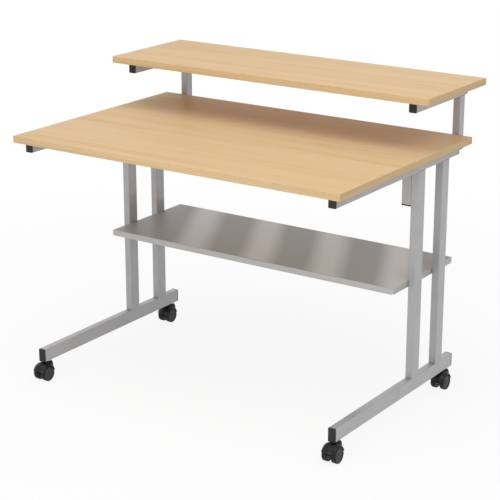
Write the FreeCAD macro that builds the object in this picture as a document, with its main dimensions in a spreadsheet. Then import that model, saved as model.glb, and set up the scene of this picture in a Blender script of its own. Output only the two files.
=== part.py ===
import FreeCAD, Part
import os
import re

# Mobile standing desk: two welded side frames on castors carry a worktop, a folded
# lower shelf and a bolted-on frame with a raised rear shelf.
# X runs along the desk, Y from its front to its back, Z up from the floor.

sizes = {
    # worktop
    "worktop_length": 1200, "worktop_depth": 800, "worktop_thickness": 22,
    # raised rear shelf, as long as the worktop, which reaches past its back edge
    "upper_shelf_depth": 380, "upper_shelf_thickness": 22,
    "upper_shelf_overhang": 82, "upper_shelf_rise": 120,
    # edge strips glued round both boards
    "edging_thickness": 2, "edging_joint": 0.1,
    # side frames of flat-sided tube
    "frame_inset": 28.5, "leg_width": 25, "leg_depth": 44, "leg_wall": 2, "leg_corner": 2.5,
    "upright_length": 671, "upright_gap": 111, "upright_back_gap": 94,
    "foot_setback": 45, "foot_tail": 72,
    "bar_height": 32, "bar_setback": 26, "bar_back_gap": 29,
    # frame of the raised shelf
    "shelf_tube_width": 25, "shelf_tube_depth": 32, "shelf_tube_wall": 2, "shelf_tube_corner": 2.5,
    "shelf_bar_setback": 21, "shelf_bar_tail": 16, "post_gap": 14,
    "drop_leg_width": 32, "drop_leg_drop": 112,
    # lower shelf, one sheet folded down on four sides
    "lower_shelf_height": 430, "lower_shelf_depth": 384, "lower_shelf_lip": 20,
    "sheet_thickness": 1.5, "fold_radius": 2, "lower_shelf_clearance": 0.5,
    # plugs in the open tube ends
    "plug_head": 5, "plug_insert": 15, "plug_clearance": 0.2,
    # wood screws up into the boards
    "screw_radius": 2.5, "screw_bite_share": 0.65, "screw_head_radius": 5, "screw_head": 3,
    "screw_inset": 60, "screw_clearance": 0.3,
    # machine bolts into the tubes
    "bolt_radius": 3, "bolt_bite": 8, "bolt_head_radius": 5, "bolt_head": 4, "bolt_clearance": 0.3,
    "arm_bolt_share": 0.2, "arm_bolt_gap": 36, "leg_bolt_height": 35,
    # castors
    "castor_headroom": 3, "castor_trail": 21,
    "wheel_radius": 25, "wheel_width": 16, "wheel_edge": 3, "wheel_dish_radius": 18, "wheel_dish": 2,
    "wheel_hub_radius": 7, "wheel_hub": 1.2, "wheel_gap": 1,
    "web_width": 14, "hub_radius": 9, "hood_crown": 10.5, "hood_clearance": 1.5, "hood_edge": 0.8,
    "hood_front_angle": 20, "hood_back_angle": 4,
    "boss_radius": 10, "boss_shoulder_radius": 16, "boss_base_radius": 19.5, "boss_shoulder": 5.5,
    "boss_gap": 0.5, "boss_floor": 18,
    "axle_radius": 3, "axle_fit": 0.06, "pin_radius": 4, "pin_length": 16, "pin_fit": 0.06,
    "pin_end_gap": 1, "flange_radius": 9, "flange_height": 3, "stud_radius": 5, "stud_length": 16,
    # threaded blocks in the feet
    "insert_depth": 17, "insert_height": 18, "insert_clearance": 0.5, "insert_gap": 0.5,
    "stud_clearance": 0.3,
    # brake levers of the front castors
    "slot_wall": 2.5, "lever_height": 4, "lever_gap": 0.5, "pivot_lead": 15, "pivot_rise": 9,
    "lever_reach": 25, "lever_edge": 1, "paddle_width": 14, "paddle_length": 5, "barrel_radius": 3,
    "trunnion_radius": 1.5, "trunnion_fit": 0.06, "trunnion_inset": 0.3, "slot_drop": 9,
    # cuts run this far past the face that they open
    "overrun": 1,
}

# Heights and places worked out from the sizes.
places = {
    "front": "-(worktop_depth + upper_shelf_overhang) / 2",
    "worktop_back": "front + worktop_depth",
    "castor_height": "wheel_radius + hood_radius + castor_headroom",
    "foot_top": "castor_height + leg_depth",
    "bar_bottom": "foot_top + upright_length",
    "worktop_bottom": "bar_bottom + bar_height",
    "worktop_top": "worktop_bottom + worktop_thickness",
    "shelf_bar_bottom": "worktop_top + upper_shelf_rise",
    "upper_shelf_bottom": "shelf_bar_bottom + shelf_tube_depth",
    "frame_outer": "worktop_length / 2 - frame_inset",
    "frame_inner": "frame_outer - leg_width",
    "shelf_frame_inner": "frame_inner - shelf_tube_width",
    "frame_middle": "frame_outer - leg_width / 2",
    "shelf_frame_middle": "frame_inner - shelf_tube_width / 2",
    "rear_upright_y": "worktop_back - upright_back_gap - leg_depth",
    "front_upright_y": "rear_upright_y - upright_gap - leg_depth",
    "uprights_middle": "rear_upright_y - upright_gap / 2",
    "bar_y": "front + bar_setback",
    "bar_length": "worktop_depth - bar_setback - bar_back_gap",
    "foot_y": "front + foot_setback",
    "foot_length": "rear_upright_y + leg_depth + foot_tail - foot_y",
    "upper_shelf_y": "worktop_back + upper_shelf_overhang - upper_shelf_depth",
    "post_y": "worktop_back + post_gap",
    "shelf_bar_y": "upper_shelf_y + shelf_bar_setback",
    "shelf_bar_length": "post_y + shelf_tube_depth + shelf_bar_tail - shelf_bar_y",
    "drop_leg_y": "front_upright_y",
    "drop_leg_inner": "frame_inner - drop_leg_width",
    "drop_leg_bottom": "bar_bottom - drop_leg_drop",
    "arm_y": "drop_leg_y + shelf_tube_depth",
    "arm_length": "post_y - arm_y",
    "arm_z": "worktop_bottom - shelf_tube_depth",
    "arm_bolt_z": "arm_z + shelf_tube_depth / 2",
    "leg_bolt_z": "drop_leg_bottom + leg_bolt_height",
    "lower_shelf_y": "uprights_middle - lower_shelf_depth / 2",
    "lower_shelf_half": "frame_inner - lower_shelf_clearance",
    "lower_shelf_bottom": "lower_shelf_height - lower_shelf_lip",
    "bolt_height": "lower_shelf_height - lower_shelf_lip / 2 - sheet_thickness / 2",
    "castor_inset": "plug_head + plug_insert + insert_gap + insert_depth / 2",
    "front_castor_y": "foot_y + castor_inset",
    "rear_castor_y": "foot_y + foot_length - castor_inset",
    "insert_width": "leg_width - 2 * leg_wall - 2 * insert_clearance",
    "well_radius": "wheel_radius + hood_clearance",
    "hood_radius": "well_radius + hood_crown",
    "hood_half": "web_width / 2 + wheel_gap + wheel_width",
    "hood_flat": "asin(hood_half / hood_radius)",
    "axle_half": "web_width / 2 + wheel_gap + wheel_width - wheel_dish",
    "boss_top": "castor_height - flange_height - boss_gap",
    "pin_bottom": "castor_height - flange_height - pin_length",
    "boss_bottom": "pin_bottom - pin_end_gap - boss_floor",
    "boss_shoulder_z": "boss_top - boss_shoulder",
    "pivot_y": "-castor_trail - pivot_lead",
    "pivot_z": "wheel_radius + pivot_rise",
    "trunnion_half": "web_width / 2 - trunnion_inset",
    "slot_half": "web_width / 2 - slot_wall",
    "lever_width": "2 * slot_half - 2 * lever_gap",
}

# Screws along each top bar and shelf bar, and bolts along each shelf arm.
bar_screw_spots = (
    "bar_y + screw_inset",
    "(bar_y + screw_inset + uprights_middle) / 2",
    "uprights_middle",
)
shelf_screw_spots = (
    "shelf_bar_y + screw_inset",
    "post_y - screw_inset",
)
arm_bolt_spots = (
    "arm_y + arm_bolt_share * arm_length",
    "bar_y + bar_length - plug_head - plug_insert - arm_bolt_gap",
)
upright_spots = {"front": "front_upright_y", "rear": "rear_upright_y"}
castor_spots = {"front": "front_castor_y", "rear": "rear_castor_y"}
sides = {"left": -1, "right": 1}

doc = FreeCAD.newDocument("standing_desk")
sheet = doc.addObject("Spreadsheet::Sheet", "Sizes")
for row, (name, value) in enumerate(sizes.items(), start=1):
    sheet.set(f"A{row}", name)
    sheet.set(f"B{row}", str(value))
    sheet.setAlias(f"B{row}", name)
doc.recompute()

pieces = []
origin = ("0", "0", "0")
tolerance = 1e-6
turns = {
    "x": FreeCAD.Rotation(FreeCAD.Vector(0, 1, 0), 90),
    "y": FreeCAD.Rotation(FreeCAD.Vector(1, 0, 0), -90),
    "z": FreeCAD.Rotation(),
}


def spell(formula):
    def swap(hit):
        word = hit.group(0)
        if word in places:
            return "(" + spell(places[word]) + ")"
        return "Sizes." + word if word in sizes else word
    return re.sub(r"[a-z_]+", swap, formula)


def bind(item, name, formula):
    item.setExpression(name, spell(formula))


def place(item, spot, turn=None):
    if turn is not None:
        item.Placement = FreeCAD.Placement(FreeCAD.Vector(), turn)
    for axis, formula in zip("xyz", spot):
        bind(item, f"Placement.Base.{axis}", formula)


def on_side(side, near, far):
    # the lower X of a span that lies between near and far on the given side
    return near if sides[side] > 0 else f"-({far})"


def new_piece(label, spot=origin, turn=None):
    body = doc.addObject("PartDesign::Body", label)
    body.Label = label
    body.AllowCompound = True
    place(body, spot, turn)
    pieces.append(body)
    return body


def box(body, kind, size, spot):
    item = body.newObject(f"PartDesign::{kind}Box", f"{body.Label}_block")
    for name, formula in zip(("Length", "Width", "Height"), size):
        bind(item, name, formula)
    place(item, spot)
    return item


def cylinder(body, kind, axis, radius, length, spot):
    item = body.newObject(f"PartDesign::{kind}Cylinder", f"{body.Label}_round")
    bind(item, "Radius", radius)
    bind(item, "Height", length)
    place(item, spot, turns[axis])
    return item


def cone(body, kind, lower, upper, length, spot):
    item = body.newObject(f"PartDesign::{kind}Cone", f"{body.Label}_taper")
    bind(item, "Radius1", lower)
    bind(item, "Radius2", upper)
    bind(item, "Height", length)
    place(item, spot)
    return item


def round_edges(body, radius, wanted):
    # rounds the edges of the newest feature that the test accepts
    doc.recompute()
    base = body.Tip
    names = [f"Edge{number}" for number, edge in enumerate(base.Shape.Edges, start=1) if wanted(edge)]
    item = body.newObject("PartDesign::Fillet", f"{body.Label}_round_edge")
    item.Base = (base, names)
    bind(item, "Radius", radius)
    return item


def runs_along(axis):
    direction = FreeCAD.Vector(*(float(name == axis) for name in "xyz"))

    def test(edge):
        if edge.Curve.TypeId != "Part::GeomLine":
            return False
        return abs(abs(edge.tangentAt(edge.FirstParameter).dot(direction)) - 1) < tolerance
    return test


def is_circle(edge):
    return edge.Curve.TypeId == "Part::GeomCircle"


def tube(label, axis, size, wall, corner, spot):
    # a rectangular tube: a block rounded along its length and bored right through
    body = new_piece(label, spot)
    box(body, "Additive", size, origin)
    round_edges(body, corner, runs_along(axis))
    bore = [f"{part} - 2 * {wall}" for part in size]
    start = [wall, wall, wall]
    along = "xyz".index(axis)
    bore[along] = f"{size[along]} + 2 * overrun"
    start[along] = "-overrun"
    box(body, "Subtractive", bore, start)
    return body


def board(label, length, depth, thickness, spot):
    core = new_piece(f"{label}_board", spot)
    box(core, "Additive",
        (f"{length} - 2 * edging_thickness", f"{depth} - 2 * edging_thickness", thickness),
        ("edging_thickness", "edging_thickness", "0"))
    strips = new_piece(f"{label}_edging", spot)
    for edge in ("0", f"{depth} - edging_thickness"):
        box(strips, "Additive", (length, "edging_thickness", thickness), ("0", edge, "0"))
    for edge in ("0", f"{length} - edging_thickness"):
        box(strips, "Additive",
            ("edging_thickness", f"{depth} - 2 * edging_thickness - 2 * edging_joint", thickness),
            (edge, "edging_thickness + edging_joint", "0"))
    return core


def end_plug(body, axis, way, end, across, wall):
    # a square head that closes a tube end and a block that fills its bore;
    # across maps the two other axes to the tube's near corner and its size there
    along = "xyz".index(axis)
    head_size, head_spot = [None] * 3, [None] * 3
    fill_size, fill_spot = [None] * 3, [None] * 3
    head_size[along], fill_size[along] = "plug_head", "plug_insert"
    head_spot[along] = end if way > 0 else f"{end} - plug_head"
    fill_spot[along] = f"{end} + plug_head" if way > 0 else f"{end} - plug_head - plug_insert"
    for other, (corner, size) in across.items():
        index = "xyz".index(other)
        head_size[index], head_spot[index] = size, corner
        fill_size[index] = f"{size} - 2 * {wall} - 2 * plug_clearance"
        fill_spot[index] = f"{corner} + {wall} + plug_clearance"
    box(body, "Additive", head_size, head_spot)
    box(body, "Additive", fill_size, fill_spot)


def round_heads(body, axis, corner):
    # the plug heads follow the rounded corners of their tubes
    straight = runs_along(axis)
    head = sheet.get("plug_head")
    round_edges(body, corner, lambda edge: straight(edge) and abs(edge.Length - head) < tolerance)


def headed_pin(body, axis, way, seat, across, radius, length, head_radius, head):
    # a shank that runs from its seat in the given way, with a head behind the seat
    spot = dict(across)
    spot[axis] = seat if way > 0 else f"{seat} - ({length})"
    cylinder(body, "Additive", axis, radius, length, [spot[name] for name in "xyz"])
    spot[axis] = f"{seat} - {head}" if way > 0 else seat
    cylinder(body, "Additive", axis, head_radius, head, [spot[name] for name in "xyz"])


# Worktop and raised shelf
worktop = board("worktop", "worktop_length", "worktop_depth", "worktop_thickness",
                ("-worktop_length / 2", "front", "worktop_bottom"))
upper_shelf = board("upper_shelf", "worktop_length", "upper_shelf_depth", "upper_shelf_thickness",
                    ("-worktop_length / 2", "upper_shelf_y", "upper_shelf_bottom"))

# Lower shelf: a sheet with its four edges folded down
lower_shelf = new_piece("lower_shelf", ("-lower_shelf_half", "lower_shelf_y", "lower_shelf_bottom"))
box(lower_shelf, "Additive", ("2 * lower_shelf_half", "lower_shelf_depth", "lower_shelf_lip"), origin)
round_edges(lower_shelf, "fold_radius",
            lambda edge: edge.CenterOfMass.z > sheet.get("lower_shelf_lip") - sheet.get("fold_radius"))
box(lower_shelf, "Subtractive",
    ("2 * lower_shelf_half - 2 * sheet_thickness", "lower_shelf_depth - 2 * sheet_thickness",
     "lower_shelf_lip - sheet_thickness + overrun"),
    ("sheet_thickness", "sheet_thickness", "-overrun"))

# Side frames and the frames of the raised shelf
feet, top_bars, shelf_bars, arms, drop_legs, uprights = {}, {}, {}, {}, {}, {}
for side in sides:
    leg_x = on_side(side, "frame_inner", "frame_outer")
    shelf_x = on_side(side, "shelf_frame_inner", "frame_inner")
    feet[side] = tube(f"{side}_foot_tube", "y", ("leg_width", "foot_length - 2 * plug_head", "leg_depth"),
                      "leg_wall", "leg_corner", (leg_x, "foot_y + plug_head", "castor_height"))
    for name, spot in upright_spots.items():
        uprights[side, name] = tube(f"{side}_{name}_upright", "z",
                                    ("leg_width", "leg_depth", "upright_length"),
                                    "leg_wall", "leg_corner", (leg_x, spot, "foot_top"))
    top_bars[side] = tube(f"{side}_top_bar", "y", ("leg_width", "bar_length - 2 * plug_head", "bar_height"),
                          "leg_wall", "leg_corner", (leg_x, "bar_y + plug_head", "bar_bottom"))
    shelf_bars[side] = tube(f"{side}_shelf_bar", "y",
                            ("shelf_tube_width", "shelf_bar_length - 2 * plug_head", "shelf_tube_depth"),
                            "shelf_tube_wall", "shelf_tube_corner",
                            (shelf_x, "shelf_bar_y + plug_head", "shelf_bar_bottom"))
    tube(f"{side}_shelf_post", "z",
         ("shelf_tube_width", "shelf_tube_depth", "shelf_bar_bottom - arm_z - plug_head"),
         "shelf_tube_wall", "shelf_tube_corner", (shelf_x, "post_y", "arm_z + plug_head"))
    arms[side] = tube(f"{side}_shelf_arm", "y", ("shelf_tube_width", "arm_length", "shelf_tube_depth"),
                      "shelf_tube_wall", "shelf_tube_corner", (shelf_x, "arm_y", "arm_z"))
    drop_x = on_side(side, "drop_leg_inner", "frame_inner")
    drop_legs[side] = tube(f"{side}_drop_leg", "z",
                           ("drop_leg_width", "shelf_tube_depth",
                            "worktop_bottom - drop_leg_bottom - plug_head"),
                           "shelf_tube_wall", "shelf_tube_corner",
                           (drop_x, "drop_leg_y", "drop_leg_bottom + plug_head"))

# Plugs in the open tube ends
foot_plugs = new_piece("foot_plugs")
top_bar_plugs = new_piece("top_bar_plugs")
shelf_bar_plugs = new_piece("shelf_bar_plugs")
shelf_frame_plugs = new_piece("shelf_frame_plugs")
for side in sides:
    leg_across = (on_side(side, "frame_inner", "frame_outer"), "leg_width")
    shelf_across = (on_side(side, "shelf_frame_inner", "frame_inner"), "shelf_tube_width")
    drop_across = (on_side(side, "drop_leg_inner", "frame_inner"), "drop_leg_width")
    for group, start, length, section, wall in (
        (foot_plugs, "foot_y", "foot_length",
         {"x": leg_across, "z": ("castor_height", "leg_depth")}, "leg_wall"),
        (top_bar_plugs, "bar_y", "bar_length",
         {"x": leg_across, "z": ("bar_bottom", "bar_height")}, "leg_wall"),
        (shelf_bar_plugs, "shelf_bar_y", "shelf_bar_length",
         {"x": shelf_across, "z": ("shelf_bar_bottom", "shelf_tube_depth")}, "shelf_tube_wall"),
    ):
        end_plug(group, "y", 1, start, section, wall)
        end_plug(group, "y", -1, f"{start} + {length}", section, wall)
    for across, start, bottom in ((drop_across, "drop_leg_y", "drop_leg_bottom"),
                                  (shelf_across, "post_y", "arm_z")):
        end_plug(shelf_frame_plugs, "z", 1, bottom,
                 {"x": across, "y": (start, "shelf_tube_depth")}, "shelf_tube_wall")
for group, axis, corner in ((foot_plugs, "y", "leg_corner"), (top_bar_plugs, "y", "leg_corner"),
                            (shelf_bar_plugs, "y", "shelf_tube_corner"),
                            (shelf_frame_plugs, "z", "shelf_tube_corner")):
    round_heads(group, axis, corner)

# Screws that hold the boards from below
worktop_screws = new_piece("worktop_screws")
upper_shelf_screws = new_piece("upper_shelf_screws")
for group, bars, wood, spots, middle, bar_start, bottom, rise, width, thick, wood_x, wood_y in (
    (worktop_screws, top_bars, worktop, bar_screw_spots, "frame_middle", "bar_y + plug_head", "bar_bottom",
     "bar_height", "leg_width", "worktop_thickness", "worktop_length / 2", "front"),
    (upper_shelf_screws, shelf_bars, upper_shelf, shelf_screw_spots, "shelf_frame_middle",
     "shelf_bar_y + plug_head", "shelf_bar_bottom", "shelf_tube_depth", "shelf_tube_width",
     "upper_shelf_thickness", "worktop_length / 2", "upper_shelf_y"),
):
    for side, sign in sides.items():
        for spot in spots:
            across = {"x": f"{sign} * ({middle})", "y": spot}
            bite = f"screw_bite_share * {thick}"
            headed_pin(group, "z", 1, bottom, across, "screw_radius", f"{rise} + {bite}",
                       "screw_head_radius", "screw_head")
            cylinder(bars[side], "Subtractive", "z", "screw_radius + screw_clearance",
                     f"{rise} + 2 * overrun", (f"{width} / 2", f"{spot} - ({bar_start})", "-overrun"))
            cylinder(wood, "Subtractive", "z", "screw_radius", f"{bite} + overrun",
                     (f"{wood_x} + {across['x']}", f"{spot} - ({wood_y})", "-overrun"))

# Bolts of the raised shelf's frame and of the lower shelf
shelf_frame_bolts = new_piece("shelf_frame_bolts")
lower_shelf_bolts = new_piece("lower_shelf_bolts")
for side, sign in sides.items():
    reach = "shelf_tube_width + bolt_bite"
    seat = f"{sign} * (shelf_frame_inner)"
    for spot in arm_bolt_spots:
        headed_pin(shelf_frame_bolts, "x", sign, seat, {"y": spot, "z": "arm_bolt_z"},
                   "bolt_radius", reach, "bolt_head_radius", "bolt_head")
        cylinder(arms[side], "Subtractive", "x", "bolt_radius + bolt_clearance",
                 "shelf_tube_width + 2 * overrun",
                 ("-overrun", f"{spot} - (arm_y)", "shelf_tube_depth / 2"))
        hole_x = "-overrun" if sign > 0 else "leg_width - leg_wall - overrun"
        cylinder(top_bars[side], "Subtractive", "x", "bolt_radius", "leg_wall + 2 * overrun",
                 (hole_x, f"{spot} - (bar_y + plug_head)", "arm_bolt_z - bar_bottom"))
    leg_spot = "drop_leg_y + shelf_tube_depth / 2"
    headed_pin(shelf_frame_bolts, "x", sign, f"{sign} * (drop_leg_inner)",
               {"y": leg_spot, "z": "leg_bolt_z"}, "bolt_radius", "drop_leg_width + bolt_bite",
               "bolt_head_radius", "bolt_head")
    cylinder(drop_legs[side], "Subtractive", "x", "bolt_radius + bolt_clearance",
             "drop_leg_width + 2 * overrun",
             ("-overrun", "shelf_tube_depth / 2", "leg_bolt_z - drop_leg_bottom - plug_head"))
    cylinder(uprights[side, "front"], "Subtractive", "x", "bolt_radius", "leg_wall + 2 * overrun",
             (hole_x, f"{leg_spot} - (front_upright_y)", "leg_bolt_z - foot_top"))
    for name, start in upright_spots.items():
        bolt_y = f"{start} + leg_depth / 2"
        headed_pin(lower_shelf_bolts, "x", sign, f"{sign} * (lower_shelf_half - sheet_thickness)",
                   {"y": bolt_y, "z": "bolt_height"}, "bolt_radius",
                   "sheet_thickness + lower_shelf_clearance + bolt_bite", "bolt_head_radius", "bolt_head")
        cylinder(uprights[side, name], "Subtractive", "x", "bolt_radius", "leg_wall + 2 * overrun",
                 (hole_x, "leg_depth / 2", "bolt_height - foot_top"))
        lip_x = "2 * lower_shelf_half - sheet_thickness - overrun" if sign > 0 else "-overrun"
        cylinder(lower_shelf, "Subtractive", "x", "bolt_radius + bolt_clearance",
                 "sheet_thickness + 2 * overrun",
                 (lip_x, f"{bolt_y} - (lower_shelf_y)", "bolt_height - lower_shelf_bottom"))

# Threaded blocks inside the feet that take the castor studs
castor_inserts = new_piece("castor_inserts")
for side, sign in sides.items():
    for row_y in castor_spots.values():
        box(castor_inserts, "Additive", ("insert_width", "insert_depth", "insert_height"),
            (f"{sign} * (frame_middle) - insert_width / 2", f"{row_y} - insert_depth / 2",
             "castor_height + leg_wall"))
        cylinder(castor_inserts, "Subtractive", "z", "stud_radius", "insert_height + 2 * overrun",
                 (f"{sign} * (frame_middle)", row_y, "castor_height + leg_wall - overrun"))
        cylinder(feet[side], "Subtractive", "z", "stud_radius + stud_clearance", "leg_wall + 2 * overrun",
                 ("leg_width / 2", f"{row_y} - (foot_y + plug_head)", "-overrun"))


def castor_stem(label, spot):
    body = new_piece(label, spot)
    cylinder(body, "Additive", "z", "flange_radius", "flange_height",
             ("0", "0", "castor_height - flange_height"))
    cylinder(body, "Additive", "z", "stud_radius", "stud_length", ("0", "0", "castor_height"))
    cylinder(body, "Additive", "z", "pin_radius", "pin_length", ("0", "0", "pin_bottom"))


def castor_hood(label, spot, braked):
    # the upper part of a ball over both wheels, flat at its two sides, joined by a web
    # to the hub of the axle and to the tapered boss of the stem
    body = new_piece(label, spot)
    ball = body.newObject("PartDesign::AdditiveSphere", f"{label}_ball")
    bind(ball, "Radius", "hood_radius")
    bind(ball, "Angle1", "-(hood_flat)")
    bind(ball, "Angle2", "hood_flat")
    bind(ball, "Angle3", "180 - hood_front_angle - hood_back_angle")
    start = FreeCAD.Rotation(FreeCAD.Vector(0, 0, 1), 90 + sheet.get("hood_back_angle"))
    place(ball, ("0", "-castor_trail", "wheel_radius"), turns["x"].multiply(start))
    round_edges(body, "hood_edge", is_circle)
    cone(body, "Additive", "boss_base_radius", "boss_shoulder_radius", "boss_shoulder_z - boss_bottom",
         ("0", "0", "boss_bottom"))
    cone(body, "Additive", "boss_shoulder_radius", "boss_radius", "boss_shoulder",
         ("0", "0", "boss_shoulder_z"))
    for well_x in ("web_width / 2", "-hood_half - overrun"):
        cylinder(body, "Subtractive", "x", "well_radius", "hood_half + overrun - web_width / 2",
                 (well_x, "-castor_trail", "wheel_radius"))
    cylinder(body, "Additive", "x", "hub_radius", "web_width",
             ("-web_width / 2", "-castor_trail", "wheel_radius"))
    cylinder(body, "Subtractive", "x", "axle_radius", "web_width + 2 * overrun",
             ("-web_width / 2 - overrun", "-castor_trail", "wheel_radius"))
    cylinder(body, "Subtractive", "z", "pin_radius + pin_fit",
             "boss_top - pin_bottom + pin_end_gap + overrun", ("0", "0", "pin_bottom - pin_end_gap"))
    if braked:
        box(body, "Subtractive",
            ("2 * slot_half", "hood_radius - pivot_lead + barrel_radius + lever_gap + overrun",
             "slot_drop + barrel_radius + lever_gap"),
            ("-slot_half", "-castor_trail - hood_radius - overrun", "pivot_z - slot_drop"))
        cylinder(body, "Subtractive", "x", "trunnion_radius + trunnion_fit", "web_width + 2 * overrun",
                 ("-web_width / 2 - overrun", "pivot_y", "pivot_z"))


def castor_axle(label, spot):
    body = new_piece(label, spot)
    cylinder(body, "Additive", "x", "axle_radius", "2 * axle_half",
             ("-axle_half", "-castor_trail", "wheel_radius"))


def castor_wheel(label, spot, turn):
    # a rounded tread, a dished outer face and a raised hub
    body = new_piece(label, spot, turn)
    cylinder(body, "Additive", "x", "wheel_radius", "wheel_width", origin)
    round_edges(body, "wheel_edge", is_circle)
    cylinder(body, "Subtractive", "x", "wheel_dish_radius", "wheel_dish + overrun",
             ("wheel_width - wheel_dish", "0", "0"))
    cylinder(body, "Additive", "x", "wheel_hub_radius", "wheel_width - wheel_dish + wheel_hub", origin)
    cylinder(body, "Subtractive", "x", "axle_radius + axle_fit", "wheel_width + 2 * overrun",
             ("-overrun", "0", "0"))


def brake_lever(label, spot):
    # an arm on a barrel with two trunnions, and a wider paddle at its free end
    body = new_piece(label, spot)
    cylinder(body, "Additive", "x", "barrel_radius", "lever_width", ("-lever_width / 2", "0", "0"))
    box(body, "Additive", ("lever_width", "lever_reach", "lever_height"),
        ("-lever_width / 2", "-lever_reach", "-lever_height / 2"))
    box(body, "Additive", ("paddle_width", "paddle_length", "lever_height"),
        ("-paddle_width / 2", "-lever_reach", "-lever_height / 2"))
    round_edges(body, "lever_edge",
                lambda edge: edge.CenterOfMass.y < -sheet.get("lever_reach") + sheet.get("lever_edge"))
    cylinder(body, "Additive", "x", "trunnion_radius", "2 * trunnion_half", ("-trunnion_half", "0", "0"))


# Castors, each with its wheels in front of the stem
half_turn = FreeCAD.Rotation(FreeCAD.Vector(0, 0, 1), 180)
for row, row_y in castor_spots.items():
    for side, sign in sides.items():
        name = f"{row}_{side}"
        middle = f"{sign} * (frame_middle)"
        castor_stem(f"{name}_stem", (middle, row_y, "0"))
        castor_hood(f"{name}_hood", (middle, row_y, "0"), row == "front")
        castor_axle(f"{name}_axle", (middle, row_y, "0"))
        for hand, turn, way in (("left", half_turn, "-"), ("right", None, "+")):
            castor_wheel(f"{name}_wheel_{hand}",
                         (f"{middle} {way} (web_width / 2 + wheel_gap)", f"{row_y} - castor_trail",
                          "wheel_radius"), turn)
        if row == "front":
            brake_lever(f"{name}_brake_lever", (middle, f"{row_y} + pivot_y", "pivot_z"))

doc.recompute()
for item in doc.Objects:
    if "Invalid" in item.State or "Error" in item.State:
        raise RuntimeError(f"{item.Label} failed: {item.State}")
for piece in pieces:
    if piece.Shape.isNull() or not piece.Shape.isValid() or not piece.Shape.Solids:
        raise RuntimeError(f"{piece.Label} has no valid solid")

os.makedirs("parts", exist_ok=True)
for piece in pieces:
    piece.Shape.exportStep(f"parts/{piece.Label}.step")
    box_size = piece.Shape.BoundBox
    print(piece.Label, len(piece.Shape.Solids), "solids", f"{piece.Shape.Volume:.1f}",
          f"z {box_size.ZMin:.1f} to {box_size.ZMax:.1f}")
print(len(pieces), "pieces")
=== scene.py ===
import math

import bmesh
import bpy
from mathutils import Matrix, Vector


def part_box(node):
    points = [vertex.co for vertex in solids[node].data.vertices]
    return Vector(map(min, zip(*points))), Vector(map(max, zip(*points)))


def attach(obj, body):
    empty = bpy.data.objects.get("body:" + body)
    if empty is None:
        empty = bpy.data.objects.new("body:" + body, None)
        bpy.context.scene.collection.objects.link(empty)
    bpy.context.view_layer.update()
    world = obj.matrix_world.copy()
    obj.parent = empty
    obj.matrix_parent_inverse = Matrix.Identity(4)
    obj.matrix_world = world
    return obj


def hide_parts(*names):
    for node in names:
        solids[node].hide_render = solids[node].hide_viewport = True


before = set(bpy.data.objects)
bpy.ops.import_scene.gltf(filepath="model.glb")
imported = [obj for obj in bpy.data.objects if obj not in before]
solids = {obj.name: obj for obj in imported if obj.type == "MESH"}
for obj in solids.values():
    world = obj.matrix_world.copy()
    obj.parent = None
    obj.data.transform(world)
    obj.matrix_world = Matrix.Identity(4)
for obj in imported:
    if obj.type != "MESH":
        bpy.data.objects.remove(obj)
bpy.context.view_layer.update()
scene = bpy.context.scene
print("solids loaded:", len(solids))

# Meshes are drawn in millimetres and brought to metres when they become pieces.
perMetre = 1000
touching = 0.01  # points nearer than this lie in one place
straight = 0.99  # an edge or a normal with this share along an axis follows it
sideSigns = {"left": -1, "right": 1}
rows = ("front", "rear")
across, along, upward = 0, 1, 2  # X, Y and Z as indices


# Helpers for meshes

def cornersOf(node):  # lowest and highest corner of a solid, in mm
    low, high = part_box(node)
    return low * perMetre, high * perMetre


def block(bm, low, high):
    low, high = Vector(low), Vector(high)
    verts = bmesh.ops.create_cube(bm, size=1)["verts"]
    bmesh.ops.scale(bm, vec=high - low, verts=verts)
    bmesh.ops.translate(bm, vec=(low + high) / 2, verts=verts)


def soften(bm, edges, width, steps):
    bmesh.ops.bevel(bm, geom=edges, offset=width, offset_type="OFFSET", segments=steps, profile=0.5,
                    affect="EDGES", material=-1, clamp_overlap=True)


def edgesWhere(bm, test):
    return [edge for edge in bm.edges if test(edge)]


def lies(axis, value):  # both ends on a plane across an axis
    return lambda edge: all(abs(vert.co[axis] - value) < touching for vert in edge.verts)


def runs(axis):  # parallel to an axis
    return lambda edge: abs((edge.verts[1].co - edge.verts[0].co).normalized()[axis]) > straight


def outline(bm, points):  # a wire through the points
    verts = [bm.verts.new(point) for point in points]
    for pair in zip(verts, verts[1:]):
        bm.edges.new(pair)
    return verts


def nextRing(bm, edges, rise, widths=None):  # the ring drawn on, its corners moved in or out
    made = bmesh.ops.extrude_edge_only(bm, edges=edges)["geom"]
    verts = [part for part in made if isinstance(part, bmesh.types.BMVert)]
    own = set(verts)
    ring = [part for part in made
            if isinstance(part, bmesh.types.BMEdge) and set(part.verts) <= own]
    bmesh.ops.translate(bm, vec=(0, 0, rise), verts=verts)
    if widths:
        for vert in verts:
            angle = math.atan2(vert.co.y, vert.co.x)
            radius = widths(angle)
            vert.co.x, vert.co.y = radius * math.cos(angle), radius * math.sin(angle)
    return ring


def roundWidth(radius):
    return lambda angle: radius


def closeRing(bm, ring):
    bmesh.ops.contextual_create(bm, geom=ring)


def lathe(bm, axis, steps):  # the whole outline turned once about an axis through the origin
    edges = bm.edges[:]
    verts = list(dict.fromkeys(vert for edge in edges for vert in edge.verts))
    bmesh.ops.spin(bm, geom=verts + edges, cent=(0, 0, 0), axis=axis, dvec=(0, 0, 0),
                   angle=2 * math.pi, steps=steps, use_merge=True, use_normal_flip=False,
                   use_duplicate=False)
    bmesh.ops.remove_doubles(bm, verts=bm.verts[:], dist=touching / 10)
    bmesh.ops.dissolve_degenerate(bm, edges=bm.edges[:], dist=touching / 20)
    bmesh.ops.recalc_face_normals(bm, faces=bm.faces[:])


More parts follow.
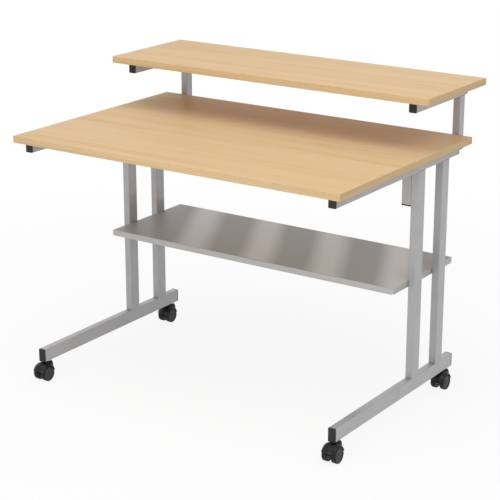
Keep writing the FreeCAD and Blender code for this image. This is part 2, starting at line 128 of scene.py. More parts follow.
def facing(spot, out, top):  # local Z looks out, local Y up
    out, top = Vector(out), Vector(top)
    right = top.cross(out)
    turn = Matrix((right, top, out)).transposed().to_4x4()
    return Matrix.Translation(spot) @ turn


def gather(target, part, move=None):  # a copy of a finished shape joins a piece
    passing = bpy.data.meshes.new("passing")
    part.to_mesh(passing)
    if move:
        passing.transform(move)
    target.from_mesh(passing)
    bpy.data.meshes.remove(passing)


def addPiece(name, bm, materials, crease, replaced=(), body="frame"):  # crease in degrees
    bmesh.ops.scale(bm, vec=Vector((1, 1, 1)) / perMetre, verts=bm.verts[:])
    mesh = bpy.data.meshes.new(name)
    bm.to_mesh(mesh)
    bm.free()
    mesh.shade_smooth()
    mesh.set_sharp_from_angle(angle=math.radians(crease))
    for material in materials:
        mesh.materials.append(material)
    piece = bpy.data.objects.new(name, mesh)
    scene.collection.objects.link(piece)
    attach(piece, body)
    if replaced:
        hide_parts(*replaced)
    return piece


def evenShading(piece):  # flats stay flat beside rounded edges
    finish = piece.modifiers.new("evenShading", "WEIGHTED_NORMAL")
    finish.keep_sharp = True


# Helpers for materials

noiseRange = (0.25, 0.75)  # where nearly all of a noise pattern lies
cloudStops = (0.3, 0.7)  # where the two tones of a cloudy finish stand


def linear(red, green, blue):  # a colour read off a screen, 0 to 255, as light
    shares = (value / 255 for value in (red, green, blue))
    light = (s / 12.92 if s <= 0.04045 else ((s + 0.055) / 1.055) ** 2.4 for s in shares)
    return (*light, 1)


def evenly(scale):  # the same stretch in all directions
    return (scale,) * 3


def newFinish(name):
    material = bpy.data.materials.new(name)
    material.use_nodes = True
    return material, material.node_tree, material.node_tree.nodes["Principled BSDF"]


def pattern(tree, stretch, detail=2, roughness=0.5, distortion=0, coordinates="Object"):
    source = tree.nodes.new("ShaderNodeTexCoord")
    mapping = tree.nodes.new("ShaderNodeMapping")
    mapping.inputs["Scale"].default_value = stretch
    noise = tree.nodes.new("ShaderNodeTexNoise")
    noise.inputs["Scale"].default_value = 1
    noise.inputs["Detail"].default_value = detail
    noise.inputs["Roughness"].default_value = roughness
    noise.inputs["Distortion"].default_value = distortion
    tree.links.new(source.outputs[coordinates], mapping.inputs["Vector"])
    tree.links.new(mapping.outputs["Vector"], noise.inputs["Vector"])
    return noise.outputs["Fac"]


def tones(tree, amount, spots, colours):  # a ramp of colours
    ramp = tree.nodes.new("ShaderNodeValToRGB")
    band = ramp.color_ramp
    while len(band.elements) < len(spots):
        band.elements.new(0.5)
    for element, spot, colour in zip(band.elements, spots, colours):
        element.position = spot
        element.color = colour
    tree.links.new(amount, ramp.inputs["Fac"])
    return ramp.outputs["Color"]


def span(tree, amount, source, target):  # one range brought to another
    node = tree.nodes.new("ShaderNodeMapRange")
    sockets = ("From Min", "From Max", "To Min", "To Max")
    for socket, value in zip(sockets, (*source, *target)):
        node.inputs[socket].default_value = value
    tree.links.new(amount, node.inputs["Value"])
    return node.outputs["Result"]


def laidOver(tree, amount, under, over):
    node = tree.nodes.new("ShaderNodeMix")
    node.data_type = "RGBA"
    tree.links.new(amount, node.inputs["Factor"])
    for socket, colour in (("A", under), ("B", over)):
        entry = next(item for item in node.inputs if item.name == socket and item.type == "RGBA")
        if isinstance(colour, tuple):
            entry.default_value = colour
        else:
            tree.links.new(colour, entry)
    return next(item for item in node.outputs if item.type == "RGBA")


def relief(tree, height, strength, depth, under=None):
    node = tree.nodes.new("ShaderNodeBump")
    node.inputs["Strength"].default_value = strength
    node.inputs["Distance"].default_value = depth
    tree.links.new(height, node.inputs["Height"])
    if under:
        tree.links.new(under, node.inputs["Normal"])
    return node.outputs["Normal"]


# Finishes

grain = {
    "growthStops": (0.28, 0.5, 0.74), "lineRange": (0.42, 0.75), "lineShare": (0, 0.4),
    "fleckRange": (0.6, 0.72), "fleckShare": (0, 0.38), "gloss": (0.4, 0.5),
    "poreStrength": 0.12, "lineStrength": 0.1, "depth": 0.0001, "specular": 0.1,
}
beech = {  # grain runs along the desk
    "growthStretch": (0.9, 24, 24), "lineStretch": (7, 380, 380),
    "fleckStretch": (150, 1500, 1500),
    "pale": linear(227, 197, 154), "middle": linear(223, 191, 146),
    "deep": linear(212, 176, 128), "fleck": linear(190, 150, 102),
}
edgeBeech = {  # printed lines follow the strip
    "growthStretch": (1.5, 1.5, 160), "lineStretch": (8, 8, 900),
    "fleckStretch": (160, 160, 2400),
    "pale": linear(224, 196, 153), "middle": linear(220, 191, 146),
    "deep": linear(209, 176, 129), "fleck": linear(189, 152, 106),
}


def beechFinish(name, growthStretch, lineStretch, fleckStretch, pale, middle, deep, fleck):
    material, tree, shader = newFinish(name)
    growth = pattern(tree, growthStretch, detail=5, roughness=0.6, distortion=0.5)
    lines = pattern(tree, lineStretch, detail=3, roughness=0.6)
    flecks = pattern(tree, fleckStretch, detail=1)
    colour = tones(tree, growth, grain["growthStops"], (pale, middle, deep))
    lineShare = span(tree, lines, grain["lineRange"], grain["lineShare"])
    colour = laidOver(tree, lineShare, colour, deep)
    fleckShare = span(tree, flecks, grain["fleckRange"], grain["fleckShare"])
    colour = laidOver(tree, fleckShare, colour, fleck)
    tree.links.new(colour, shader.inputs["Base Color"])
    tree.links.new(span(tree, lines, noiseRange, grain["gloss"]), shader.inputs["Roughness"])
    pores = relief(tree, flecks, grain["poreStrength"], grain["depth"])
    surface = relief(tree, lines, grain["lineStrength"], grain["depth"], pores)
    tree.links.new(surface, shader.inputs["Normal"])
    shader.inputs["Specular IOR Level"].default_value = grain["specular"]
    return material


beechLaminate = beechFinish("beechLaminate", **beech)
beechEdging = beechFinish("beechEdging", **edgeBeech)

silver = {"pale": linear(173, 173, 174), "deep": linear(165, 165, 167),
          "flake": linear(202, 202, 203)}
# a darker grey painted on the weld beads: painted shade where the tubes meet
paintedWeldShade = {"pale": linear(112, 111, 110), "deep": linear(86, 85, 84),
            "flake": linear(140, 139, 138)}
lacquer = {
    "flakeScale": 1700, "flakeRange": (0.35, 0.7), "flakeShare": (0, 0.22),
    "cloudScale": 14, "gloss": (0.38, 0.48),
    "peelScale": 420, "peelStrength": 0.08, "peelDepth": 0.0002,
    "metallic": 0.15, "coat": 0.8, "coatRoughness": 0.06,
}


def lacquerFinish(name, pale, deep, flake):  # silver lacquer with fine flakes
    material, tree, shader = newFinish(name)
    flakes = pattern(tree, evenly(lacquer["flakeScale"]), detail=1)
    clouds = pattern(tree, evenly(lacquer["cloudScale"]), detail=3)
    colour = tones(tree, clouds, cloudStops, (pale, deep))
    flakeShare = span(tree, flakes, lacquer["flakeRange"], lacquer["flakeShare"])
    colour = laidOver(tree, flakeShare, colour, flake)
    tree.links.new(colour, shader.inputs["Base Color"])
    tree.links.new(span(tree, clouds, noiseRange, lacquer["gloss"]), shader.inputs["Roughness"])
    peel = pattern(tree, evenly(lacquer["peelScale"]))
    surface = relief(tree, peel, lacquer["peelStrength"], lacquer["peelDepth"])
    tree.links.new(surface, shader.inputs["Normal"])
    shader.inputs["Metallic"].default_value = lacquer["metallic"]
    shader.inputs["Coat Weight"].default_value = lacquer["coat"]
    shader.inputs["Coat Roughness"].default_value = lacquer["coatRoughness"]
    return material


silverTube = lacquerFinish("silverTube", **silver)
weldBeadsPaintedShade = lacquerFinish("weldBeadsPaintedShade", **paintedWeldShade)

# The sheet's colour holds painted reflection: dark and pale are the painted shade and painted
# highlight of the sheen bands, and dark is also the real brushing streaks. Even is the plain tone
# by the left end, set a touch paler than dark to lift the uprights' shade there, which is also
# painted light.
brushed = {
    "dark": linear(161, 158, 157), "pale": linear(212, 212, 213), "even": linear(168, 165, 164),
    # lip is a paler grey painted on the folded lips for the light they catch, the same steel as the
    # face
    "lip": linear(190, 189, 188),
    "bandWidth": 0.257, "bandStart": 0.03, "bandSlant": 27.9, "bandWander": 0.5,
    "bandStops": (0.3, 0.95),
    "bandless": -0.36, "banded": -0.29,  # the painted sheen bands set in between these places
    "hairStretch": (5, 2200, 1), "hairRange": (0.35, 0.75), "hairShare": (0, 0.16),
    "hairStrength": 0.06, "hairDepth": 0.0001, "gloss": (0.4, 0.52),
    "metallic": 0.3, "anisotropy": 0.5, "brushTurn": 0.25,
}


def paintedSheenBands(tree):  # broad slanted bands of painted sheen, a painted reflection laid into the colour, but not by its left end
    source = tree.nodes.new("ShaderNodeTexCoord")
    mapping = tree.nodes.new("ShaderNodeMapping")
    slant = math.radians(brushed["bandSlant"])
    mapping.inputs["Rotation"].default_value = (0, 0, -slant)
    wave = tree.nodes.new("ShaderNodeTexWave")
    waveTurn = 20  # what the wave texture turns in a metre at a scale of one
    turn = 2 * math.pi / brushed["bandWidth"]  # of the wave in a metre along the desk
    wave.inputs["Scale"].default_value = turn / math.cos(slant) / waveTurn
    wave.inputs["Distortion"].default_value = brushed["bandWander"]
    wave.inputs["Phase Offset"].default_value = math.pi - turn * brushed["bandStart"]
    tree.links.new(source.outputs["UV"], mapping.inputs["Vector"])
    tree.links.new(mapping.outputs["Vector"], wave.inputs["Vector"])
    # painted reflection: the wave runs between a painted shade and a painted highlight
    bands = tones(tree, wave.outputs["Fac"], brushed["bandStops"],
                  (brushed["dark"], brushed["pale"]))
    place = tree.nodes.new("ShaderNodeSeparateXYZ")
    tree.links.new(mapping.outputs["Vector"], place.inputs["Vector"])
    share = span(tree, place.outputs["X"], (brushed["bandless"], brushed["banded"]), (0, 1))
    return laidOver(tree, share, brushed["even"], bands)


def brushedFinish():  # stainless sheet, brushed along the desk
    material, tree, shader = newFinish("brushedSheet")
    hairs = pattern(tree, brushed["hairStretch"], detail=4, roughness=0.7, coordinates="UV")
    flat = tree.nodes.new("ShaderNodeAttribute")
    flat.attribute_name = "flatTop"
    # the lips get a paler flat grey as painted light, the face the painted sheen bands
    colour = laidOver(tree, flat.outputs["Fac"], brushed["lip"], paintedSheenBands(tree))
    hairShare = span(tree, hairs, brushed["hairRange"], brushed["hairShare"])
    colour = laidOver(tree, hairShare, colour, brushed["dark"])
    tree.links.new(colour, shader.inputs["Base Color"])
    tree.links.new(span(tree, hairs, noiseRange, brushed["gloss"]), shader.inputs["Roughness"])
    surface = relief(tree, hairs, brushed["hairStrength"], brushed["hairDepth"])
    tree.links.new(surface, shader.inputs["Normal"])
    tangent = tree.nodes.new("ShaderNodeTangent")
    tangent.direction_type = "UV_MAP"
    tangent.uv_map = "sheetFlat"
    tree.links.new(tangent.outputs["Tangent"], shader.inputs["Tangent"])
    shader.inputs["Metallic"].default_value = brushed["metallic"]
    shader.inputs["Anisotropic"].default_value = brushed["anisotropy"]
    shader.inputs["Anisotropic Rotation"].default_value = brushed["brushTurn"]
    return material


brushedSheet = brushedFinish()

moulded = {"cloudScale": 90, "glossSpread": 0.12, "grainStrength": 0.25, "grainDepth": 0.0001,
           "specular": 0.3}


def mouldedFinish(name, pale, deep, gloss, grainScale):
    material, tree, shader = newFinish(name)
    clouds = pattern(tree, evenly(moulded["cloudScale"]), detail=3)
    stipple = pattern(tree, evenly(grainScale))
    tree.links.new(tones(tree, clouds, cloudStops, (deep, pale)), shader.inputs["Base Color"])
    roughness = span(tree, clouds, noiseRange, (gloss, gloss + moulded["glossSpread"]))
    tree.links.new(roughness, shader.inputs["Roughness"])
    surface = relief(tree, stipple, moulded["grainStrength"], moulded["grainDepth"])
    tree.links.new(surface, shader.inputs["Normal"])
    shader.inputs["Specular IOR Level"].default_value = moulded["specular"]
    return material


plugPlastic = mouldedFinish("plugPlastic", pale=linear(44, 44, 44), deep=linear(35, 35, 35),
                            gloss=0.42, grainScale=1400)
hoodPlastic = mouldedFinish("hoodPlastic", pale=linear(15, 14, 14), deep=linear(9, 8, 8),
                            gloss=0.34, grainScale=1600)
wheelDisc = mouldedFinish("wheelDisc", pale=linear(57, 57, 58), deep=linear(45, 45, 46),
                          gloss=0.36, grainScale=1500)
wheelTread = mouldedFinish("wheelTread", pale=linear(18, 18, 19), deep=linear(11, 11, 12),
                           gloss=0.5, grainScale=1100)

zinc = {
    "pale": linear(196, 197, 198), "deep": linear(172, 173, 172), "cloudScale": 120,
    "spangleScale": 700, "spangleStrength": 0.08, "spangleDepth": 0.0001, "gloss": (0.24, 0.4),
}


def zincFinish():
    material, tree, shader = newFinish("zincSteel")
    spangle = pattern(tree, evenly(zinc["spangleScale"]))
    clouds = pattern(tree, evenly(zinc["cloudScale"]), detail=3)
    colour = tones(tree, clouds, cloudStops, (zinc["pale"], zinc["deep"]))
    tree.links.new(colour, shader.inputs["Base Color"])
    tree.links.new(span(tree, spangle, noiseRange, zinc["gloss"]), shader.inputs["Roughness"])
    surface = relief(tree, spangle, zinc["spangleStrength"], zinc["spangleDepth"])
    tree.links.new(surface, shader.inputs["Normal"])
    shader.inputs["Metallic"].default_value = 1
    return material


zincSteel = zincFinish()
print("finishes mixed")


# Solids that stay as they are get their finish

tubeNames = ("foot_tube", "front_upright", "rear_upright", "top_bar", "shelf_bar", "shelf_post",
             "shelf_arm", "drop_leg")
keptFinishes = {f"{side}_{name}": silverTube for side in sideSigns for name in tubeNames}
keptFinishes["castor_inserts"] = zincSteel
for row in rows:
    for side in sideSigns:
        keptFinishes[f"{row}_{side}_stem"] = zincSteel
        keptFinishes[f"{row}_{side}_axle"] = zincSteel
for name, finish in keptFinishes.items():
    solids[name].data.materials.clear()
    solids[name].data.materials.append(finish)
print("solids finished:", len(keptFinishes))


# Worktop and raised shelf: a board with glued strips round it

board = {"edgeRound": 1.3, "edgeSteps": 4, "faceBreak": 0.2, "faceSteps": 2, "strip": 2,
         "slabCrease": 20, "stripCrease": 50}


def dressBoard(node, name):
    low, high = cornersOf(f"{node}_board")
    slab = bmesh.new()
    block(slab, low, high)
    soften(slab, slab.edges[:], board["faceBreak"], board["faceSteps"])
    addPiece(f"{name}Slab", slab, [beechLaminate], board["slabCrease"],
             [f"{node}_board"])

    low, high = cornersOf(f"{node}_edging")
    strips = bmesh.new()
    for axis in (along, across):
        other = across if axis == along else along
        for outer, inner in ((low[axis], low[axis] + board["strip"]),
                             (high[axis], high[axis] - board["strip"])):
            near, far = low.copy(), high.copy()
            near[axis], far[axis] = min(outer, inner), max(outer, inner)
            if axis == across:  # the end strips stand between the long ones
                near[other] += board["strip"]
                far[other] -= board["strip"]
            strip = bmesh.new()
            block(strip, near, far)
            outside = lies(axis, outer)
            lengthwise = runs(other)
            rounded = edgesWhere(strip, lambda edge: outside(edge)
                                 and (axis == along or lengthwise(edge)))
            soften(strip, rounded, board["edgeRound"], board["edgeSteps"])
            gather(strips, strip)
            strip.free()
    edging = addPiece(f"{name}Edging", strips, [beechEdging],
                      board["stripCrease"], [f"{node}_edging"])
    evenShading(edging)


dressBoard("worktop", "worktop")
dressBoard("upper_shelf", "upperShelf")
print("boards made")


# Lower shelf: one sheet folded down on four sides, with cut corners

lowerShelf = {
    "wall": 1.5, "fold": 2.2, "foldSteps": 4, "notch": 5, "notchRise": 4, "crease": 40,
    "foldAngle": 1,  # in radians, less than the bend of a fold
}


def makeLowerShelf():
    low, high = cornersOf("lower_shelf")
    bm = bmesh.new()
    block(bm, low, high)
    for axis in (across, along):
        for cut in (low[axis] + lowerShelf["notch"], high[axis] - lowerShelf["notch"]):
            spot, way = Vector(), Vector()
            spot[axis], way[axis] = cut, 1
            bmesh.ops.bisect_plane(bm, geom=bm.verts[:] + bm.edges[:] + bm.faces[:],
                                   plane_co=spot, plane_no=way)
    under = [face for face in bm.faces if face.normal.z < -straight]
    bmesh.ops.delete(bm, geom=under, context="FACES")
    for vert in bm.verts:  # the four lower corners
        atEnd = min(vert.co.x - low.x, high.x - vert.co.x) < touching
        atSide = min(vert.co.y - low.y, high.y - vert.co.y) < touching
        if atEnd and atSide and vert.co.z < low.z + touching:
            vert.co.z += lowerShelf["notchRise"]
    rim = edgesWhere(bm, lies(upward, high.z))
    folds = [edge for edge in rim if edge.calc_face_angle() > lowerShelf["foldAngle"]]
    soften(bm, folds, lowerShelf["fold"], lowerShelf["foldSteps"])
    bmesh.ops.recalc_face_normals(bm, faces=bm.faces[:])
    level = bm.verts.layers.float.new("flatTop")  # one on the shelf's face, none on its lips, which take a paler painted lit grey
    for vert in bm.verts:
        vert[level] = float(vert.co.z > high.z - touching)
    flat = bm.loops.layers.uv.new("sheetFlat")  # the sheet as it was before folding, in metres
    for face in bm.faces:
        for loop in face.loops:
            spot = loop.vert.co
            drop = high.z - spot.z
            u, v = spot.x, spot.y
            if high.x - abs(spot.x) < lowerShelf["fold"]:
                u += math.copysign(drop, spot.x)
            if min(spot.y - low.y, high.y - spot.y) < lowerShelf["fold"]:
                v += math.copysign(drop, spot.y - (low.y + high.y) / 2)
            loop[flat].uv = (u / perMetre, v / perMetre)
    piece = addPiece("lowerShelfSheet", bm, [brushedSheet], lowerShelf["crease"],
                     ["lower_shelf"])
    wall = piece.modifiers.new("sheetWall", "SOLIDIFY")
    wall.thickness = lowerShelf["wall"] / perMetre
    wall.offset = -1
    wall.use_even_offset = True
    evenShading(piece)


makeLowerShelf()
print("lower shelf folded")


# Welds where the tubes of a frame meet

weld = {"length": 19, "ripples": 8, "thick": 1.7, "thin": 1.35, "end": 0.6, "sides": 10,
        "crease": 60}


def weldBead():  # a rippled bead along local Z, with its middle at the origin
    bm = bmesh.new()
    bmesh.ops.create_circle(bm, cap_ends=True, segments=weld["sides"], radius=weld["end"])
    bmesh.ops.translate(bm, vec=(0, 0, -weld["length"] / 2), verts=bm.verts[:])
    ring = bm.edges[:]
    steps = 2 * weld["ripples"]
    for step in range(steps):
        radius = weld["thick"] if step % 2 == 0 else weld["thin"]
        if step == steps - 1:
            radius = weld["end"]
        ring = nextRing(bm, ring, weld["length"] / steps, roundWidth(radius))
    closeRing(bm, ring)
    bmesh.ops.recalc_face_normals(bm, faces=bm.faces[:])
    return bm


def makeWelds():
    bead = weldBead()
    frameWelds, shelfWelds = bmesh.new(), bmesh.new()
    for side in sideSigns:
        for name in ("front_upright", "rear_upright"):
            low, high = cornersOf(f"{side}_{name}")
            middle = (low.x + high.x) / 2
            for y in (low.y, high.y):
                for z in (low.z, high.z):
                    gather(frameWelds, bead, facing((middle, y, z), (1, 0, 0), (0, 0, 1)))
        low, high = cornersOf(f"{side}_shelf_post")
        arm = cornersOf(f"{side}_shelf_arm")
        leg = cornersOf(f"{side}_drop_leg")
        middle = (low.x + high.x) / 2
        spots = ((low.y, high.z), (high.y, high.z), (low.y, arm[1].z), (leg[1].y, arm[0].z))
        for y, z in spots:
            gather(shelfWelds, bead, facing((middle, y, z), (1, 0, 0), (0, 0, 1)))
    bead.free()
    # the beads' darker finish paints shade at the joints
    addPiece("frameWelds", frameWelds, [weldBeadsPaintedShade], weld["crease"])
    addPiece("shelfFrameWelds", shelfWelds, [weldBeadsPaintedShade], weld["crease"])


makeWelds()
print("welds laid")


# Plugs in the open tube ends

plug = {"head": 5, "insert": 15, "wall": 2.2, "corner": 2.5, "cornerSteps": 4, "crown": 1.4,
        "crownSteps": 3, "lead": 1.5, "leadSteps": 1, "crease": 50}


def tubePlug(width, depth):  # local Z points out of the tube, with the tube's end at zero
    piece = bmesh.new()
    head = bmesh.new()
    block(head, (-width / 2, -depth / 2, 0), (width / 2, depth / 2, plug["head"]))
    soften(head, edgesWhere(head, runs(upward)), plug["corner"], plug["cornerSteps"])
    crown = edgesWhere(head, lies(upward, plug["head"]))
    soften(head, crown, plug["crown"], plug["crownSteps"])
    gather(piece, head)
    head.free()
    fill = bmesh.new()
    halfWidth, halfDepth = width / 2 - plug["wall"], depth / 2 - plug["wall"]
    block(fill, (-halfWidth, -halfDepth, -plug["insert"]), (halfWidth, halfDepth, 0))
    lead = edgesWhere(fill, lies(upward, -plug["insert"]))
    soften(fill, lead, plug["lead"], plug["leadSteps"])
    gather(piece, fill)
    fill.free()
    return piece


def addPlugs(name, bm, node):
    evenShading(addPiece(name, bm, [plugPlastic], plug["crease"], [node]))


def makePlugs():
    groups = {
        "footPlugs": ("foot_plugs", "foot_tube"),
        "topBarPlugs": ("top_bar_plugs", "top_bar"),
        "shelfBarPlugs": ("shelf_bar_plugs", "shelf_bar"),
    }
    for name, (node, tube) in groups.items():  # both ends of a tube that lies level
        bm = bmesh.new()
        for side in sideSigns:
            low, high = cornersOf(f"{side}_{tube}")
            middle = (low + high) / 2
            shape = tubePlug(high.x - low.x, high.z - low.z)
            for y, way in ((low.y, -1), (high.y, 1)):
                gather(bm, shape, facing((middle.x, y, middle.z), (0, way, 0), (0, 0, 1)))
            shape.free()
        addPlugs(name, bm, node)
    bm = bmesh.new()
    for side in sideSigns:
        for tube in ("drop_leg", "shelf_post"):  # the lower end of a tube that stands
            low, high = cornersOf(f"{side}_{tube}")
            middle = (low + high) / 2
            shape = tubePlug(high.x - low.x, high.y - low.y)
            gather(bm, shape, facing((middle.x, middle.y, low.z), (0, 0, -1), (0, 1, 0)))
            shape.free()
    addPlugs("shelfFramePlugs", bm, "shelf_frame_plugs")


makePlugs()
print("plugs fitted")


# Screws and bolts, each with a domed head and a recess for its driver

fastener = {
    "sides": 24, "recessShare": 0.55, "recessDepthShare": 0.6, "crossArm": 16, "crossNeck": 15,
    # shares of the head's radius and height, from its seat up
    "dome": ((1, 0), (1, 0.4), (0.95, 0.25), (0.84, 0.2), (0.7, 0.15)), "crease": 40,
}
woodScrew = {"shank": 2.5, "head": 5, "height": 3, "recess": "cross"}
machineBolt = {"shank": 3, "head": 5, "height": 4, "recess": "hex"}
worktopScrews = {"x": 559, "y": (-355, -94.75, 165.5), "seat": 780, "length": 46.3}
upperShelfScrews = {"x": 534, "y": (142, 313), "seat": 954, "length": 46.3}
armBolts = {"seat": 521.5, "length": 33, "spots": ((153, 796), (274, 796))}
dropLegBolts = {"seat": 514.5, "length": 40, "spots": ((82, 703),)}
lowerShelfBolts = {"seat": 544.5, "length": 10, "spots": ((88, 419.25), (243, 419.25))}


def recessWidth(kind, size):
    armAngle, neckAngle = math.radians(fastener["crossArm"]), math.radians(fastener["crossNeck"])

    def hexagon(angle):
        return size * math.cos(math.pi / 6) / math.cos(angle % (math.pi / 3) - math.pi / 6)

    def cross(angle):
        turn = abs((angle + math.pi / 4) % (math.pi / 2) - math.pi / 4)  # from the nearest arm
        return size if turn < armAngle else size * math.sin(neckAngle) / math.sin(turn)
    return hexagon if kind == "hex" else cross


def fastenerShape(kind, length):  # local Z points from the seat to the head
    bm = bmesh.new()
    bmesh.ops.create_circle(bm, cap_ends=True, segments=fastener["sides"], radius=kind["shank"])
    bmesh.ops.translate(bm, vec=(0, 0, -length), verts=bm.verts[:])
    radius, height = kind["head"], kind["height"]
    ring = nextRing(bm, bm.edges[:], length)
    for width, rise in fastener["dome"]:
        ring = nextRing(bm, ring, rise * height, roundWidth(width * radius))
    recess = recessWidth(kind["recess"], fastener["recessShare"] * radius)
    ring = nextRing(bm, ring, 0, recess)
    ring = nextRing(bm, ring, -fastener["recessDepthShare"] * height)
    closeRing(bm, ring)
    bmesh.ops.recalc_face_normals(bm, faces=bm.faces[:])
    return bm


def makeScrews(name, node, screws):  # up through a bar into a board
    shape = fastenerShape(woodScrew, screws["length"])
    bm = bmesh.new()
    for sign in sideSigns.values():
        for y in screws["y"]:
            spot = (sign * screws["x"], y, screws["seat"])
            gather(bm, shape, facing(spot, (0, 0, -1), (0, 1, 0)))
    shape.free()
    addPiece(name, bm, [zincSteel], fastener["crease"], [node])


def makeBolts(name, node, *sets):  # from the inside out into a side frame
    bm = bmesh.new()
    for bolts in sets:
        shape = fastenerShape(machineBolt, bolts["length"])
        for sign in sideSigns.values():
            for y, z in bolts["spots"]:
                spot = (sign * bolts["seat"], y, z)
                gather(bm, shape, facing(spot, (-sign, 0, 0), (0, 0, 1)))
        shape.free()
    addPiece(name, bm, [zincSteel], fastener["crease"], [node])


makeScrews("worktopScrews", "worktop_screws", worktopScrews)
makeScrews("upperShelfScrews", "upper_shelf_screws", upperShelfScrews)
makeBolts("shelfFrameBolts", "shelf_frame_bolts", armBolts, dropLegBolts)
makeBolts("lowerShelfBolts", "lower_shelf_bolts", lowerShelfBolts)
print("screws and bolts set")


# Castors: a crowned hood over two wheels, drawn with the axle through the origin

castor = {"x": 559, "stemY": {"front": -367, "rear": 308}, "trail": 21, "axleZ": 25}
wheel = {
    "inner": 8, "steps": 64, "treadRound": 2.2, "treadRoundSteps": 5, "discEdge": 22.3,
    # across from the inner face, and radius
    "profile": ((14.1, 0), (14.1, 3.1), (0.4, 3.1), (0.4, 8.5), (1.6, 9.5), (1.6, 20), (0, 21.4),
                (0, 25), (16, 25), (16, 22.6), (15.3, 22.1), (15.3, 21.5), (15.9, 20.9),
                (15.7, 19.8), (14.4, 18.8), (13.7, 14), (13.9, 8.6), (14.5, 7.4), (15.4, 6.9),
                (15.8, 5), (15.9, 0)),
    "treadCorners": (7, 8),  # places in the profile
    "crease": 38,
}
hood = {
    "half": 24, "ball": 37, "well": 26.5, "wellSides": 96, "web": 7, "bore": 5,
    "frontAngle": 20, "backAngle": 15, "arcs": 20, "steps": 40,
    "lip": 0.6, "lipSteps": 2, "lipAngle": 0.6,  # the angle in radians
    "hub": 9, "hubHalf": 7.4, "pin": 4.2, "pinFloor": 20, "pinTop": 50,
    # radius and height over the axle of the boss round the stem
    "boss": ((0, 2), (18.8, 2), (19.4, 2.7), (16.3, 28), (15.5, 31), (14.2, 33.2), (12.4, 35),
             (10.4, 36.1), (8.8, 36.5), (0, 36.5)),
    "bossSteps": 56, "trunnion": 1.6, "crease": 32,
    "slotHalf": 4.5, "slot": ((-40, -2), (-11.5, 12.5)),  # Y and Z of two corners
}
lever = {
    "pivotY": -15, "pivotZ": 9, "reach": 25, "half": 4, "thick": 2, "paddleHalf": 7, "paddle": 5,
    "edge": 1, "edgeSteps": 3, "barrel": 3, "barrelHalf": 3.8,
    "trunnion": 1.5, "trunnionHalf": 6.7, "trunnionSides": 20,
    "ribs": (-23.6, -22.3, -21), "ribHalf": 5.4, "ribWidth": 0.35, "ribRise": 0.4, "ribSteps": 2,
    "crease": 50,
}


def castorWheel():  # its inner face at zero, its outer face towards +X
    bm = bmesh.new()
    verts = outline(bm, [(x, 0, radius) for x, radius in wheel["profile"]])
    corners = [verts[index] for index in wheel["treadCorners"]]
    bmesh.ops.bevel(bm, geom=corners, offset=wheel["treadRound"], offset_type="OFFSET",
                    segments=wheel["treadRoundSteps"], profile=0.5, affect="VERTICES",
                    material=-1, clamp_overlap=True)
    lathe(bm, (1, 0, 0), wheel["steps"])
    for face in bm.faces:
        middle = face.calc_center_median()
        face.material_index = int(math.hypot(middle.y, middle.z) > wheel["discEdge"])
    return bm


def rod(bm, radius, low, high, sides=32):  # a round bar along X
    verts = bmesh.ops.create_cone(bm, cap_ends=True, segments=sides, radius1=radius,
                                  radius2=radius, depth=high - low)["verts"]
    layDown = Matrix.Rotation(math.pi / 2, 3, "Y")
    bmesh.ops.rotate(bm, cent=(0, 0, 0), matrix=layDown, verts=verts)
    bmesh.ops.translate(bm, vec=((low + high) / 2, 0, 0), verts=verts)
    return verts


def asObject(name, bm):
    bmesh.ops.recalc_face_normals(bm, faces=bm.faces[:])
    mesh = bpy.data.meshes.new(name)
    bm.to_mesh(mesh)
    bm.free()
    made = bpy.data.objects.new(name, mesh)
    scene.collection.objects.link(made)
    return made


def carve(blank, tools):  # joins and cuts in turn, then gives the result back to work on
    body = asObject("blank", blank)
    cutters = []
    for operation, tool in tools:
        cutter = asObject("cutter", tool)
        cutters.append(cutter)
        step = body.modifiers.new(operation, "BOOLEAN")
        step.operation = operation
        step.solver = "EXACT"
        step.object = cutter
    bpy.context.view_layer.update()
    finished = body.evaluated_get(bpy.context.evaluated_depsgraph_get())
    shaped = bpy.data.meshes.new_from_object(finished)
    bm = bmesh.new()
    bm.from_mesh(shaped)
    bpy.data.meshes.remove(shaped)
    for spent in [body, *cutters]:
        mesh = spent.data
        bpy.data.objects.remove(spent)
        bpy.data.meshes.remove(mesh)
    return bm


def hoodShell():  # part of a ball, cut flat at both sides and turned over the axle
    shell = bmesh.new()
    half, ball = hood["half"], hood["ball"]
    reach = math.asin(half / ball)
    arc = []
    for step in range(hood["arcs"] + 1):
        turn = reach * (1 - 2 * step / hood["arcs"])  # from one flat side over to the other
        arc.append((ball * math.sin(turn), ball * math.cos(turn)))
    section = [(half, hood["bore"]), *arc, (-half, hood["bore"])]
    back = math.radians(hood["backAngle"])
    verts = [shell.verts.new((x, radius * math.cos(back), radius * math.sin(back)))
             for x, radius in section]
    face = shell.faces.new(verts)
    sweep = math.pi - back - math.radians(hood["frontAngle"])
    bmesh.ops.spin(shell, geom=[face, *face.edges, *verts], cent=(0, 0, 0), axis=(1, 0, 0),
                   dvec=(0, 0, 0), angle=sweep, steps=hood["steps"], use_merge=False,
                   use_normal_flip=False, use_duplicate=False)
    bmesh.ops.recalc_face_normals(shell, faces=shell.faces[:])
    rim = math.sqrt(ball ** 2 - half ** 2) - touching
    outer = edgesWhere(
        shell, lambda edge: all(math.hypot(*vert.co.yz) > rim for vert in edge.verts))
    lip = [edge for edge in outer if edge.calc_face_angle(0) > hood["lipAngle"]]
    soften(shell, lip, hood["lip"], hood["lipSteps"])
    return shell


